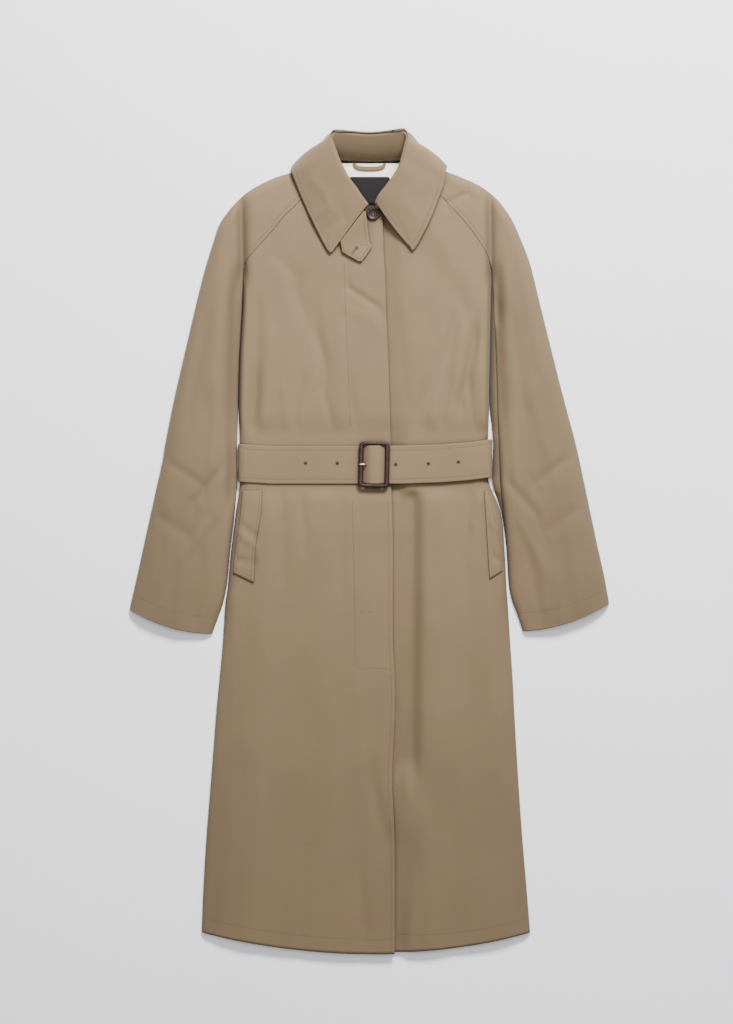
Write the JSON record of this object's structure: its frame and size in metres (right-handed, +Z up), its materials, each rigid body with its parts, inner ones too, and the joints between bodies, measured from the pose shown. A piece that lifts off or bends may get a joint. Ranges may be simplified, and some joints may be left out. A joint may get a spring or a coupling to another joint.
{
  "type": "trench coat",
  "caption": "Belted raglan trench coat laid flat on its back, with turned-down collar, throat tab, fly front, buckled belt and welt pockets.",
  "frame": {"origin": "middle of the coat's outline on the surface it lies on", "axes": "+Y from the hem to the collar, +Z up from the surface, +X towards the wearer's left side"},
  "size_m": [0.7186, 1.2331, 0.0433],
  "materials": {
    "coat_cloth": "matte",
    "lining_cloth": "satin",
    "label_cloth": "matte",
    "dark_horn": "glossy",
    "pale_metal": "satin"
  },
  "bodies": {
    "root": {"back_panel": "coat_cloth", "front_right": "coat_cloth", "front_left": "coat_cloth", "fly_placket": "coat_cloth", "sleeve_front_right": "coat_cloth", "sleeve_back_right": "coat_cloth", "sleeve_front_left": "coat_cloth", "sleeve_back_left": "coat_cloth", "collar_fall": "coat_cloth", "collar_stand": "coat_cloth", "throat_tab": "coat_cloth", "hanger_loop": "coat_cloth", "pocket_welt_right": "coat_cloth", "pocket_welt_left": "coat_cloth", "belt_strap": "coat_cloth", "back_neck_lining": "lining_cloth", "neck_label": "label_cloth", "neck_button": "dark_horn", "belt_buckle": "dark_horn", "buckle_prong": "pale_metal"}
  },
  "joints": []
}
